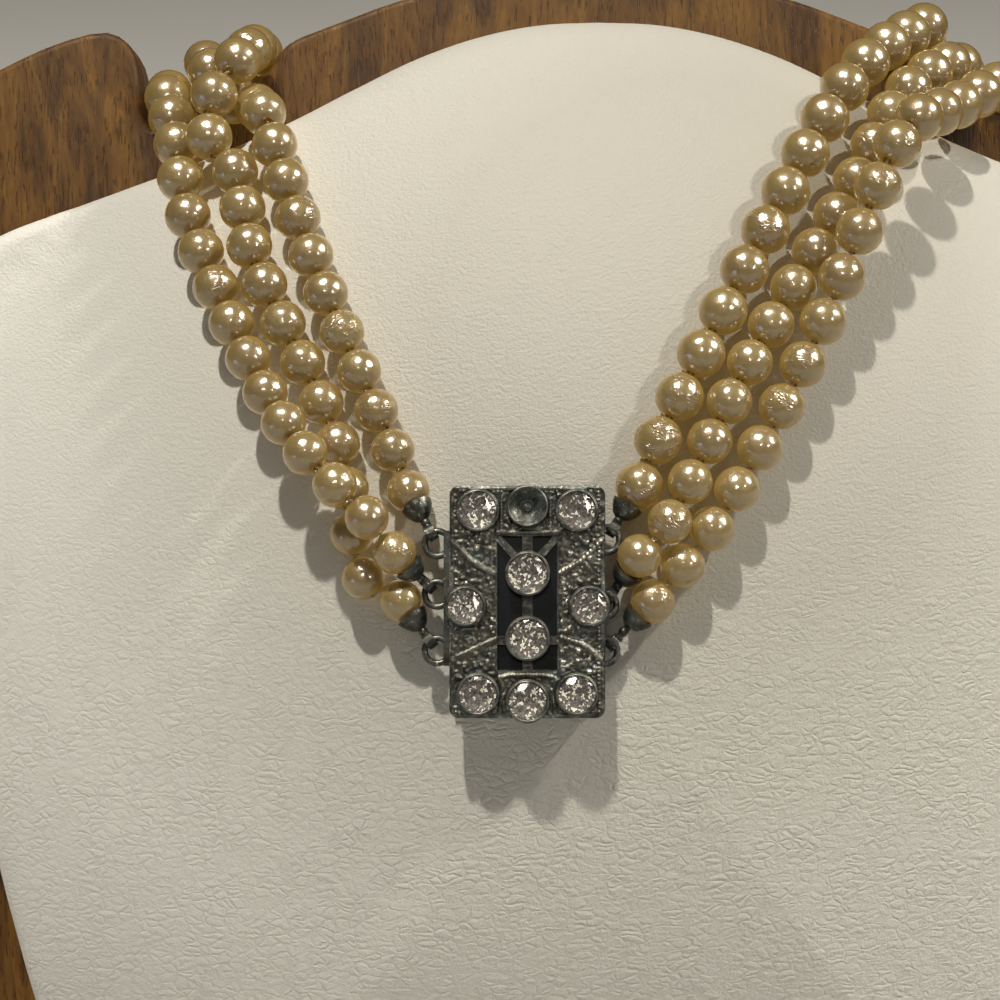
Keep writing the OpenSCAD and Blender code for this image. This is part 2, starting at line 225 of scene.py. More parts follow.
def metal_material(name, dark, mid, high, scale, depth, rough=(0.28, 0.6), relief=False):
    """Old cast metal. With relief, the mesh's rub attribute says what is rubbed bright."""
    t = Tree(name)
    p = t.new("TexCoord").outputs["Object"]
    grit = t.noise(p, scale, 5, 0.7)
    grain = t.noise(p, scale * 0.33, 3, 0.6)
    body = t.mix(t.remap(grain, 0.38, 0.62), dark, mid)
    green = t.remap(t.noise(p, scale * 0.14, 2, 0.6), 0.5, 0.66, 0.0, 0.5)
    body = t.mix(green, body, (0.078, 0.104, 0.1))
    wear = t.remap(grit, 0.56, 0.72)
    if relief:
        rub = t.attr("rub").outputs["Fac"]
        wear = t.math("MULTIPLY", wear, t.remap(rub, 0.0, 0.3, 0.0, 0.35))
        bright = t.math("MULTIPLY", rub, t.remap(grain, 0.3, 0.6, 0.3, 1.0))
        wear = t.math("ADD", wear, bright, clamp=True)
    t.set(
        Base_Color=t.mix(wear, body, high),
        Metallic=t.remap(wear, 0.0, 1.0, 0.6, 1.0),
        Roughness=t.remap(grit, 0.3, 0.75, rough[1], rough[0]),
    )
    h = t.math("ADD", t.math("MULTIPLY", grit, 0.7), t.math("MULTIPLY", t.voronoi(p, scale * 0.5), 0.5))
    t.link(t.bump(h, 1.0, depth), t.bsdf.inputs["Normal"])
    return t.mat


def stone_material():
    """The clear crown of a stone, its facets kept sharp."""
    t = Tree("stone_crown")
    t.set(Base_Color=(0.03, 0.028, 0.03, 1), Roughness=0.03, IOR=1.9, Alpha=0.4)
    return t.mat


def foil_material():
    """The foiled back of a stone, painted with reflections: each of its facets has its own painted
    brightness, and a few carry a painted glint brighter than white.
    """
    t = Tree("stone_foil_painted_sparkle")
    shade = t.ramp(t.attr("facet").outputs["Fac"], [
        (0.0, (0.06, 0.053, 0.058)), (0.35, (0.24, 0.21, 0.21)), (0.65, (0.44, 0.4, 0.37)),
        (0.84, (0.7, 0.65, 0.58)), (0.91, (3.2, 3.05, 2.7)),
    ])
    t.set(Base_Color=shade, Metallic=0.0, Roughness=0.3)
    return t.mat


def leather_material():
    """Whitish leatherette: low pebbles parted by fine broken creases that run mostly across, with painted
    shade in the creases and painted light evening out its brightness.
    """
    t = Tree("pad_leatherette")
    uv = t.new("UVMap", uv_map="face").outputs[0]
    warp = t.new("TexNoise")
    t.link(uv, warp.inputs["Vector"])
    warp.inputs["Scale"].default_value = 34
    warp.inputs["Detail"].default_value = 3
    warp.inputs["Roughness"].default_value = 0.65
    bent = t.vmath("ADD", t.scale(uv, (1.0, 1.7, 1.0)), t.scale(warp.outputs["Color"], (0.03, 0.03, 0.0)))
    edge = t.voronoi(bent, 68.0, "DISTANCE_TO_EDGE")
    groove = t.remap(edge, 0.0, 0.17)
    part = t.new("SeparateXYZ")
    t.link(uv, part.inputs[0])
    patches = t.remap(t.noise(uv, 30.0, 2, 0.6), 0.35, 0.6, 0.3, 1.0)
    depth = t.math("MULTIPLY", patches, t.remap(part.outputs[1], 1.0, 0.72, 0.3, 1.0))
    pebble = t.math("MULTIPLY", t.remap(edge, 0.0, 0.6), 0.5)
    h = t.math("MULTIPLY", t.math("ADD", t.math("MULTIPLY", groove, 0.35), pebble), depth)
    h = t.math("ADD", h, t.math("MULTIPLY", t.noise(uv, 270.0, 2, 0.7), 0.9))
    # lighter and cooler away from the top middle: painted light that evens out the lamps' fall-off over
    # the dome
    away = t.new("VectorMath", operation="DISTANCE")
    t.link(uv, away.inputs[0])
    away.inputs[1].default_value = (0.1, 1.15, 0)
    tone_with_painted_light = t.mix(t.remap(away.outputs["Value"], 0.28, 0.78), (0.54, 0.524, 0.478), (0.9, 0.892, 0.862))
    # painted shade: the creases are darkened where shadow lies in them
    crease_painted_shade = t.math("MULTIPLY", t.remap(groove, 0.8, 0.0, 0.0, 0.12), depth)
    t.set(Base_Color=t.mix(crease_painted_shade, tone_with_painted_light, (0.4, 0.35, 0.29)), Roughness=0.48, Specular_IOR_Level=0.25)
    t.link(t.bump(h, 0.9, 0.00013), t.bsdf.inputs["Normal"])
    return t.mat


def wood_material(name, along):
    """Stained wood whose grain runs up the leaning board or across the base."""
    t = Tree(name)
    p = t.new("TexCoord").outputs["Object"]
    rot = t.new("Mapping", vector_type="POINT")
    t.link(p, rot.inputs[0])
    rot.inputs["Rotation"].default_value = (LEAN, 0, 0) if along == "up" else (0, 0, 0)
    v = t.scale(rot.outputs[0], (1, 1, 0.2) if along == "up" else (0.2, 1, 1))
    streak = t.noise(v, 1500, 4, 0.6, 0.3)
    band = t.noise(v, 230, 4, 0.65, 0.8)
    pore = t.remap(t.noise(t.scale(v, (1, 1, 0.7)), 4200, 2, 0.5), 0.58, 0.66)
    tone = t.mix(t.remap(band, 0.4, 0.6), (0.062, 0.027, 0.007), (0.205, 0.1, 0.019))
    tone = t.mix(t.math("MULTIPLY", t.remap(streak, 0.42, 0.62), 0.65), tone, (0.125, 0.054, 0.01))
    tone = t.mix(t.math("MULTIPLY", pore, 0.6), tone, (0.035, 0.015, 0.006))
    t.set(Base_Color=tone, Roughness=t.remap(streak, 0.3, 0.7, 0.4, 0.6), Specular_IOR_Level=0.15)
    h = t.math("ADD", streak, t.math("MULTIPLY", pore, -0.6))
    t.link(t.bump(h, 0.5, 0.00012), t.bsdf.inputs["Normal"])
    return t.mat


def plain_material(name, color, rough):
    """One even colour."""
    t = Tree(name)
    t.set(Base_Color=(*color, 1), Roughness=rough)
    return t.mat


PEARL = pearl_material("pearl_coat", False)
WORN = pearl_material("pearl_coat_worn", True)
# dark, middle and worn tone of each metal
CAST_TONES = (0.028, 0.03, 0.029), (0.12, 0.122, 0.112), (0.62, 0.61, 0.55)
RELIEF_TONES = (0.021, 0.02, 0.018), (0.076, 0.074, 0.06), (0.5, 0.48, 0.41)
TIP_TONES = (0.024, 0.025, 0.022), (0.095, 0.095, 0.083), (0.5, 0.48, 0.43)
CLASP = metal_material("clasp_cast", *CAST_TONES, 3600, 0.00006)
RELIEF = metal_material("clasp_relief", *RELIEF_TONES, 3600, 0.00004, (0.22, 0.45), True)
TIPS = metal_material("tip_metal", *TIP_TONES, 2200, 0.00003, (0.2, 0.42))
STONE = stone_material()
FOIL_PAINTED_SPARKLE = foil_material()
LEATHER = leather_material()
WOOD = wood_material("board_wood_grain", "up")
BASE_WOOD = wood_material("base_wood_grain", "across")
THREAD = plain_material("thread_fibre", (0.5, 0.42, 0.28), 0.7)
# painted shade for the inside of the clasp box, seen through its window
WINDOW_PAINTED_SHADE = plain_material("window_painted_shade", (0.006, 0.008, 0.012), 0.25)


# objects and their meshes
def add_object(name, data):
    """A new object of the scene that shows the given data."""
    o = bpy.data.objects.new(name, data)
    bpy.context.scene.collection.objects.link(o)
    return o


def add_mesh(name, verts, faces, material, slot, smooth=True):
    """A new piece of the scene; its slot argument is not used."""
    m = bpy.data.meshes.new(name)
    m.from_pydata([tuple(v) for v in verts], [], [tuple(f) for f in faces])
    m.update()
    o = add_object(name, m)
    m.materials.append(material)
    if smooth:
        m.polygons.foreach_set("use_smooth", [True] * len(m.polygons))
    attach(o, "root")
    return o


def add_layer(o, name, values, kind="FLOAT", domain="POINT"):
    """Values on a mesh that its material reads."""
    layer = o.data.attributes.new(name, kind, domain)
    layer.data.foreach_set("vector" if kind == "FLOAT_VECTOR" else "value", values)


def paint(o, material):
    """One material in place of all that an object has."""
    o.data.materials.clear()
    o.data.materials.append(material)


# pearls
def islands(mesh):
    """Groups of vertices that hang together, with their triangles."""
    bm = bmesh.new()
    bm.from_mesh(mesh)
    bmesh.ops.remove_doubles(bm, verts=bm.verts, dist=1e-6)
    bm.verts.index_update()
    bm.faces.index_update()
    seen, out = set(), []
    for v0 in bm.verts:
        if v0.index in seen:
            continue
        stack, group = [v0], []
        seen.add(v0.index)
        while stack:
            v = stack.pop()
            group.append(v)
            for e in v.link_edges:
                w = e.other_vert(v)
                if w.index not in seen:
                    seen.add(w.index)
                    stack.append(w)
        # in a fixed order, so that each run gives a pearl's axis the same direction
        faces = sorted({f for v in group for f in v.link_faces}, key=lambda f: f.index)
        tris = np.array([[v.co for v in f.verts][:3] for f in faces])
        out.append((np.array([v.co for v in group]), tris))
    bm.free()
    return out


def pearl_facts(points, tris):
    """Centre, radius and bore axis of one drilled ball."""
    # the sphere that fits all points best
    a = np.c_[2 * points, np.ones(len(points))]
    x = np.linalg.lstsq(a, (points**2).sum(1), rcond=None)[0]
    c = x[:3]
    r = math.sqrt(x[3] + c @ c)
    # triangles near the centre are the bore's wall, and run longest along its axis
    inner = tris[np.linalg.norm(tris.mean(1) - c, axis=1) < 0.62 * r]
    q = (inner.reshape(-1, 3) if len(inner) else tris.reshape(-1, 3)) - c
    axis = np.linalg.svd(q, full_matrices=False)[2][0]
    return c, r, axis


def bead_rows(r, bore, lip):
    """Half outline of a drilled pearl from the bore's inside over the lip to the other side."""
    top = math.sqrt(r * r - (bore + lip) ** 2)
    rows = [(bore, 0.55 * r), (bore, top - lip * 0.35), (bore + lip * 0.35, top + lip * 0.02)]
    n = 15
    start = math.asin((bore + lip) / r)
    for k in range(n + 1):
        a = start + (math.pi - 2 * start) * k / n
        rows.append((r * math.sin(a), r * math.cos(a)))
    rows += [(p, -z) for p, z in reversed(rows[:3])]
    return rows


def picture(p):
    """Where a board point lands in the picture, in thousandths of its width."""
    s = 1000 * LENS / (CAMERA[2] - p.z / MM)
    return 500 + (p.x / MM - CAMERA[0]) * s, 500 - (p.y / MM - CAMERA[1]) * s


def near(spot, places):
    """Whether a spot of the picture lies on one of the listed pearls."""
    return min(math.dist(spot, p) for p in places) < PEARL_REACH


def build_pearls(node):
    """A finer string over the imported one: every pearl keeps its centre, size and bore."""
    facts = [pearl_facts(p, t) for p, t in islands(NODES[node].data)]
    sides = 28
    verts, faces, worn = [], [], []
    data = {k: [] for k in ("local", "seed", "rand", "wrinkle", "nick")}
    for c, r, axis in facts:
        z = Vector(axis).normalized()
        x = z.orthogonal().normalized()
        y = z.cross(x)
        base = len(verts)
        rows = bead_rows(r, BORE_R, LIP)
        place = TO_BOARD @ Vector(c)
        spot = picture(place) if place.z > 0 else (0, 0)
        wrinkle = 1.0 if near(spot, WRINKLED) else (0.5 if rng.random() < 0.12 else 0.0)
        nick = 1.0 if near(spot, NICKED) else 0.0
        worn.append(wrinkle + nick > 0)
        tint = rng.random()
        seed = (rng.random(), rng.random(), rng.random())
        for p, h in rows:
            for k in range(sides):
                a = 2 * math.pi * k / sides
                q = Vector((p * math.cos(a), p * math.sin(a), h))
                verts.append(Vector(c) + x * q.x + y * q.y + z * q.z)
                data["local"] += list(q / r)
        n = len(rows) * sides
        data["seed"] += seed * n
        data["rand"] += [tint] * n
        data["wrinkle"] += [wrinkle] * n
        data["nick"] += [nick] * n
        for j in range(len(rows) - 1):
            low, high = base + j * sides, base + (j + 1) * sides
            for k in range(sides):
                k2 = (k + 1) % sides
                faces.append((low + k2, low + k, high + k, high + k2))
    o = add_mesh("string_of_" + node, verts, faces, PEARL, "pearl")
    o.data.materials.append(WORN)
    coats = [int(w) for w in worn for _ in range((len(rows) - 1) * sides)]
    o.data.polygons.foreach_set("material_index", coats)
    for name, values in data.items():
        add_layer(o, "bead_" + name, values, "FLOAT_VECTOR" if name in ("local", "seed") else "FLOAT")
    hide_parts(node)


# radius of a pearl's bore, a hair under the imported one, and of its rounded lip, in metres
BORE_R, LIP = 0.00049, 0.00008
# pearls whose coat is wrinkled, and pearls chipped at the hole, by their place in the picture
WRINKLED = [(639, 486), (659, 441), (680, 397), (669, 521), (782, 403), (341, 330), (313, 472)]
NICKED = [(391, 448), (338, 484), (376, 410)]
# how far from its listed place a pearl's middle may lie, in thousandths of the picture's width
PEARL_REACH = 15
for n in ("pearls_top", "pearls_middle", "pearls_low"):
    build_pearls(n)


# clasp
def on_plate(x, y, z):
    """A point of the clasp: millimetres from its middle, and over the front plate."""
    return at(CLASP_U + x, CLASP_V + y, PLATE_TOP + z)


class Cloud:
    """Smooth value noise on a seeded lattice."""

    def __init__(self, seed):
        self.lattice = np.random.default_rng(seed).random((64, 64))

    def corner(self, i, j):
        return self.lattice[i % 64, j % 64]

    def __call__(self, x, y):
        i, j = np.floor(x).astype(int), np.floor(y).astype(int)
        fx, fy = x - i, y - j
        fx, fy = fx * fx * (3 - 2 * fx), fy * fy * (3 - 2 * fy)
        low = self.corner(i, j) * (1 - fx) + self.corner(i + 1, j) * fx
        up = self.corner(i, j + 1) * (1 - fx) + self.corner(i + 1, j + 1) * fx
        return low * (1 - fy) + up * fy


STONES = [n for n in NODES if n.startswith("stone_")]
# height of a stone's girdle over its lowest point
GIRDLE = 0.5


def stone_place(n):
    """Middle, radius and girdle height of a stone, in clasp millimetres."""
    q = np.array([TO_BOARD @ v.co for v in NODES[n].data.vertices]) / MM
    lo, hi = q.min(0), q.max(0)
    mid = (lo + hi) / 2
    return mid[0] - CLASP_U, mid[1] - CLASP_V, (hi[0] - lo[0]) / 2, lo[2] + GIRDLE - PLATE_TOP


PLACES = {n: stone_place(n) for n in STONES}


# raised lines of the casting: start, end, half width, height, radius of the grains on it, how bright
STROKES = [
    ((-7.5, 6.0), (-5.2, 3.7), 0.15, 0.42, 0, 0.5), ((-5.2, 3.7), (-3.2, 2.8), 0.17, 0.4, 0, 0.4),
    ((7.35, 6.1), (5.3, 4.1), 0.15, 0.3, 0.21, 0.8), ((5.3, 4.1), (3.2, 2.9), 0.15, 0.3, 0.19, 0.7),
    ((-7.5, -5.8), (-3.2, -3.8), 0.2, 0.24, 0, 0.15), ((7.4, -5.7), (5.3, -4.1), 0.16, 0.26, 0.17, 0.5),
    ((5.3, -4.1), (3.4, -3.5), 0.18, 0.3, 0.2, 0.7), ((-2.6, 11.0), (-2.6, 7.2), 0.14, 0.16, 0.16, 0.3),
    ((2.3, 11.0), (2.3, 7.2), 0.14, 0.16, 0.17, 0.45), ((-2.75, -7.6), (-2.75, -11.2), 0.15, 0.26, 0, 0.3),
    ((2.75, -7.6), (2.75, -11.2), 0.15, 0.26, 0, 0.4), ((-3.0, 6.95), (3.0, 6.95), 0.17, 0.2, 0.14, 0.25),
    ((-2.75, -7.6), (-1.6, -7.3), 0.14, 0.24, 0.13, 0.5),
    ((-1.6, -7.3), (1.6, -7.3), 0.14, 0.26, 0.15, 0.75),
    ((1.6, -7.3), (2.75, -7.6), 0.14, 0.24, 0.13, 0.5), ((7.0, 2.4), (4.4, 2.1), 0.1, 0.13, 0, 0.1),
    ((-7.0, -2.8), (-4.2, -2.7), 0.1, 0.13, 0, 0.1), ((3.6, 6.4), (3.6, 3.4), 0.1, 0.12, 0.12, 0.2),
    ((-3.6, 6.4), (-3.6, 3.2), 0.1, 0.12, 0.13, 0.2), ((3.6, 2.2), (3.6, -2.8), 0.1, 0.12, 0.13, 0.25),
]
# fields of the plate: left, right, low, high, and how many grains lie on a square millimetre
FIELDS = [
    (-7, -3.4, 5.0, 8.2, 3.2), (3.4, 7, 3.6, 8.2, 3.4),
    (-7, -3.3, -8.2, -5.0, 2.6), (3.3, 7, -8.2, -4.6, 2.6),
    (3.4, 7, -3.4, 4.0, 3.6), (-7, -3.4, -4.6, 3.4, 1.5),
    (-2.6, 2.6, 7.1, 11.2, 2.0), (-7.2, 7.2, 10, 11.4, 1.6),
    (-7.2, 7.2, -11.4, -7.2, 1.6), (-7.2, 7.2, -11, 11, 0.7),
]
# radii of the grains in the fields, and how bright grains are rubbed in the fields, sides and ends
FIELD_GRAINS = (0.11, 0.14, 0.18, 0.23, 0.3)
FIELD_RUBS, SIDE_RUBS, END_RUBS = (0.0, 0.05, 0.1, 0.25, 0.7), (0.1, 0.2, 0.5), (0.1, 0.2, 0.6)


def grains():
    """Round grains of the casting: across, up, radius, height of its foot, how bright."""
    g, r = [], random.Random(21)
    for i in range(56):
        y = -11 + 22 * i / 55
        for k, share in ((-1, 0.45), (1, 0.9)):
            if r.random() < share:
                x = k * 7.15 + r.uniform(-0.04, 0.04)
                g.append((x, y, r.uniform(0.12, 0.19), 0.08, r.choice(SIDE_RUBS)))
    for i in range(33):
        x = -6.8 + 13.6 * i / 32
        if abs(x) > 2.7 and r.random() < 0.75:
            g += [(x, k * 11.1, r.uniform(0.12, 0.19), 0.08, r.choice(END_RUBS)) for k in (-1, 1)]
    for a, b, _, h, size, rub in STROKES:
        if size:
            n = int(math.dist(a, b) / (size * 1.95))
            for i in range(n + 1):
                x, y = a[0] + (b[0] - a[0]) * i / n, a[1] + (b[1] - a[1]) * i / n
                g.append((x, y, size * r.uniform(0.85, 1.1), h - 0.4 * size, rub * r.uniform(0.5, 1.2)))
    for x0, x1, y0, y1, many in FIELDS:
        for _ in range(int((x1 - x0) * (y1 - y0) * many)):
            x, y = r.uniform(x0, x1), r.uniform(y0, y1)
            g.append((x, y, r.choice(FIELD_GRAINS), 0.02, r.choice(FIELD_RUBS)))
    return g


def build_relief():
    """The cast skin of the front plate: a height field with borders, strokes and grains."""
    step = 0.1
    # places in the plate's plane, in millimetres from its middle
    xs = np.arange(-EDGE_X + 0.04, EDGE_X, step)
    ys = np.arange(-EDGE_Y + 0.04, EDGE_Y, step)
    x, y = np.meshgrid(xs, ys, indexing="ij")
    broad, medium, fine = Cloud(1), Cloud(2), Cloud(3)
    h = 0.07 + 0.1 * (broad(x * 1.1 + 9, y * 1.1 + 9) - 0.5)
    h = h + 0.11 * (medium(x * 2.9 + 5, y * 2.9 + 7) - 0.5)
    h = h + 0.09 * (fine(x * 5.5 + 1, y * 5.5 + 2) - 0.5)
    rub = 0.22 * broad(x * 0.9 + 31, y * 0.9 + 3) * fine(x * 3.1 + 7, y * 3.1 + 30)
    # distance in from the plate's edge, and out from the window
    inset = np.minimum(EDGE_X - abs(x), EDGE_Y - abs(y))
    h = h + 0.07 * np.clip(1 - abs(inset - 0.28) / 0.2, 0, 1) - 0.12 * np.clip(1 - inset / 0.2, 0, 1) ** 2
    rub = rub * np.clip(inset / 0.4, 0.2, 1)
    outside = np.maximum(np.maximum(abs(x) - WIN[0], y - WIN[1]), WIN[2] - y)
    h = h + 0.08 * np.clip(1 - abs(outside - 0.3) / 0.3, 0, 1) * broad(x * 0.7 + 3, y * 0.7 + 50)
    for a, b, w, top, _, bright in STROKES:
        a, b = np.array(a), np.array(b)
        ab = b - a
        t = np.clip(((x - a[0]) * ab[0] + (y - a[1]) * ab[1]) / (ab @ ab), 0, 1)
        dist = np.hypot(x - a[0] - t * ab[0], y - a[1] - t * ab[1]) + 0.12 * (fine(x * 2, y * 2) - 0.5)
        k = np.clip((w + 0.14 - dist) / 0.14, 0, 1)
        k = k * k * (3 - 2 * k)
        h = np.maximum(h, (top - 0.05 + 0.1 * medium(x * 1.3, y * 1.3)) * k)
        rub = np.maximum(rub, bright * k * broad(x * 1.7 + 3, y * 1.7 + 3) ** 1.5)
    for gx, gy, r, foot, bright in grains():
        i0, i1 = np.searchsorted(xs, (gx - r, gx + r))
        j0, j1 = np.searchsorted(ys, (gy - r, gy + r))
        q = r * r - (x[i0:i1, j0:j1] - gx) ** 2 - (y[i0:i1, j0:j1] - gy) ** 2
        top = np.where(q > 0, foot + 0.9 * np.sqrt(np.maximum(q, 0)), 0)
        under, shine = h[i0:i1, j0:j1], rub[i0:i1, j0:j1]
        shine[:] = np.where(top > under, np.where(q > 0.4 * r * r, bright, 0), shine)
        under[:] = np.maximum(under, top)
    # the bars that run down and across the window
    bars = (abs(x) < SLIM_HALF) | (abs(y + 3.9) < 0.4)
    keep = ~((outside < 0.02) & ~bars)
    h = np.where((outside < 0) & bars, 0.02 + 0.06 * medium(x * 4, y * 4), h)
    rub = np.where((outside < 0) & bars, 0.05 * medium(x * 2, y * 2), rub)
    corner = np.hypot(np.maximum(abs(x) - (EDGE_X - 0.9), 0), np.maximum(abs(y) - (EDGE_Y - 0.9), 0))
    keep &= corner < 0.9
    for cx, cy, r, _ in list(PLACES.values()) + [(*CUP, 0)]:
        away = np.hypot(x - cx, y - cy)
        keep &= away > r + 0.12
        sunk = np.minimum(h, 0.06 + 0.35 * np.clip((away - r - 0.3) / 0.45, 0, 1))
        h = np.where(away < r + 0.75, sunk, h)
        rub = np.where(away < r + 0.4, 0, rub)
    names = -np.ones(x.shape, int)
    names[keep] = np.arange(keep.sum())
    h = np.maximum(h, 0.012)
    verts = [on_plate(float(a), float(b), float(c)) for a, b, c in zip(x[keep], y[keep], h[keep])]
    quads = np.stack([names[:-1, :-1], names[1:, :-1], names[1:, 1:], names[:-1, 1:]], -1).reshape(-1, 4)
    quads = quads[(quads >= 0).all(1)]
    o = add_mesh("clasp_relief", verts, quads.tolist(), RELIEF, "clasp_metal")
    add_layer(o, "rub", rub[keep].astype(float).tolist())


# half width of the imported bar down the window, and of the bar that shows
BAR_HALF, SLIM_HALF = 0.75, 0.5


def build_box():
    """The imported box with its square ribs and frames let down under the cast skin."""
    o = add_object("clasp_box_body", NODES["clasp_box"].data.copy())
    paint(o, CLASP)
    rounds = list(PLACES.values()) + [(*CUP, 0)]
    for v in o.data.vertices:
        q = (TO_BOARD @ v.co) / MM
        x, y, z = q.x - CLASP_U, q.y - CLASP_V, q.z - PLATE_TOP
        # the bar down the window gets slimmer
        on_bar = abs(abs(x) - BAR_HALF) < 0.02 and WIN[2] - 0.05 < y < WIN[1] + 0.05
        if -1.2 < z < 0.3 and on_bar:
            x = math.copysign(SLIM_HALF, x)
            v.co = on_plate(x, y, z)
        # what stands on the plate goes down to it, apart from the settings
        if 0.005 < z < 0.6 and all(math.hypot(x - c[0], y - c[1]) > c[2] + 0.3 for c in rounds):
            v.co = on_plate(x, y, 0)
    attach(o, "root")
    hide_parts("clasp_box")


def ring_of(cx, cy, r, tube, z, sides=40, cut=10):
    """A torus lying on the clasp."""
    verts, faces = [], []
    for i in range(sides):
        a = 2 * math.pi * i / sides
        for j in range(cut):
            b = 2 * math.pi * j / cut
            p = r + tube * math.cos(b)
            verts.append(on_plate(cx + p * math.cos(a), cy + p * math.sin(a), z + tube * math.sin(b)))
            here, there, up = i * cut, (i + 1) % sides * cut, (j + 1) % cut
            faces.append((here + j, there + j, there + up, here + up))
    return verts, faces


def join(lists):
    """One list of points and one of faces from several."""
    verts, faces = [], []
    for v, f in lists:
        faces += [[i + len(verts) for i in q] for q in f]
        verts += v
    return verts, faces


def build_settings():
    """Rims round the stones and the empty cup, and a dark sheet of painted shade seen through the window.
    """
    parts, rub = [], []
    for cx, cy, r, g in PLACES.values():
        parts += [ring_of(cx, cy, r + 0.09, 0.1, g + 0.05), ring_of(cx, cy, r + 0.2, 0.12, g - 0.2)]
        rub += [0.25, 0.05]
    cx, cy, r = CUP
    parts += [ring_of(cx, cy, r + 0.1, 0.13, 0.9), ring_of(cx, cy, 0.5, 0.1, -0.2, 16, 8)]
    rub += [0.2, 0.1]
    o = add_mesh("setting_rims", *join(parts), RELIEF, "clasp_metal")
    c = Cloud(8)
    values = []
    for (v, _), k in zip(parts, rub):
        q = np.array([TO_BOARD @ a for a in v]) / MM
        values += (k * 2.2 * c(q[:, 0] * 1.3 + 40, q[:, 1] * 1.3) ** 2).tolist()
    add_layer(o, "rub", values)
    # painted shade: a near-black sheet under the window stands for the shaded inside of the box
    side, top, low = WIN[0] - 0.05, WIN[1] - 0.05, WIN[2] + 0.05
    dark = [on_plate(a, b, -0.72) for a, b in ((-side, low), (side, low), (side, top), (-side, top))]
    add_mesh("window_shade_sheet", dark, [(0, 1, 2, 3)], WINDOW_PAINTED_SHADE, "clasp_metal", False)


def fan(rings):
    """Points on rings given as radius, height, count and turn, and each ring's numbers."""
    pts, idx = [], []
    for r, z, n, turn in rings:
        idx.append(list(range(len(pts), len(pts) + n)))
        for k in range(n):
            a = 2 * math.pi * (k + turn) / n
            pts.append((r * math.cos(a), r * math.sin(a), z))
    return pts, idx


# how far the inner facets' corners are shifted, so that no two stones sparkle alike
SHAKE = 0.07


def brilliant(cx, cy, r, g, seed):
    """Crown of a round stone over a bed of pavilion facets, which the foil material paints with
    reflections.
    """
    s = random.Random(seed)
    turn = s.random() * 0.5
    pts, (gir, mid, top) = fan([
        (r, 0.03, 16, 2 * turn), (0.8 * r, 0.3, 8, turn), (0.56 * r, 0.5, 8, turn + 0.5),
    ])
    faces = [top]
    for k in range(8):
        m, m2 = mid[k], mid[(k + 1) % 8]
        a, b, c = gir[2 * k], gir[2 * k + 1], gir[(2 * k + 2) % 16]
        faces += [(a, b, m), (b, c, m2), (b, m2, m), (m, m2, top[k]), (m2, top[(k + 1) % 8], top[k])]
    crown = [on_plate(cx + x, cy + y, g + z) for x, y, z in pts]
    low, (a, b, c, e) = fan([
        (r, 0.0, 32, 0), (0.8 * r, -0.08, 16, turn),
        (0.55 * r, -0.2, 16, turn + 0.5), (0.27 * r, -0.34, 8, turn),
    ])
    for k, (x, y, z) in enumerate(low):
        inner = k >= len(a)
        low[k] = (x + s.uniform(-SHAKE, SHAKE) * inner, y + s.uniform(-SHAKE, SHAKE) * inner, z)
    low.append((0, 0, -0.4))
    bed = []
    for k in range(16):
        k2, k3 = (k + 1) % 16, (k + 1) // 2 % 8
        a0, a1, a2 = a[2 * k], a[2 * k + 1], a[(2 * k + 2) % 32]
        bed += [(a0, a1, b[k]), (a1, a2, b[k2]), (a1, b[k2], b[k])]
        bed += [(b[k], b[k2], c[k]), (b[k2], c[k2], c[k]), (c[k], c[k2], e[k3])]
        if k % 2:
            bed += [(c[k], e[k3], e[k // 2]), (e[k // 2], e[k3], len(low) - 1)]
    foil = [on_plate(cx + x * 0.985, cy + y * 0.985, g + z) for x, y, z in low]
    return (crown, faces), (foil, bed)


def halve(verts, face):
    """The two halves of a triangle cut across its longest side."""
    far = max(range(3), key=lambda k: (verts[face[k]] - verts[face[k - 1]]).length)
    a, b, c = face[far], face[far - 1], face[far - 2]
    verts.append((verts[a] + verts[b]) / 2)
    return [(b, len(verts) - 1, c), (len(verts) - 1, a, c)]


def build_stones():
    """Nine crowns over one bed of foiled facets with painted reflections, some in clusters with a painted
    glint.
    """
    beds = []
    for i, (n, (cx, cy, r, g)) in enumerate(sorted(PLACES.items())):
        crown, bed = brilliant(cx, cy, r, g, 30 + i)
        o = add_mesh("crown_of_" + n, *crown, STONE, "stone", False)
        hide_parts(n)
        beds.append(bed)
    r = random.Random(5)
    verts, faces = join(beds)
    # painted reflections: a brightness for each facet, and the chance that its cluster carries a painted
    # glint
    shade = [(r.random(), 0.55 if r.random() < 0.13 else 0.05) for _ in faces]
    for _ in range(2):
        faces = [half for f in faces for half in halve(verts, f)]
    value = []
    for k in range(len(faces)):
        base, glint = shade[k // 4]
        bright = r.random() < glint
        value.append(r.uniform(0.85, 1) if bright else 0.35 * base + 0.65 * r.random())
    o = add_mesh("stone_beds", verts, faces, FOIL_PAINTED_SPARKLE, "stone", False)
    add_layer(o, "facet", value, domain="FACE")


build_box()
build_relief()
build_settings()
build_stones()


# display
# right half of the pad's outline on the board, from the middle of its top to the end of its foot
EDGE = [
    (0, 150), (6.5, 149.7), (13, 148.4), (20, 145.9), (27, 142.4), (34, 138.8), (41, 135.8),
    (48, 133.4), (54, 131.6), (62, 129.2), (70, 125.5), (75.5, 118), (77.5, 108), (75, 92),
    (57, 12), (55.5, 8.8), (52, 7.6),
]


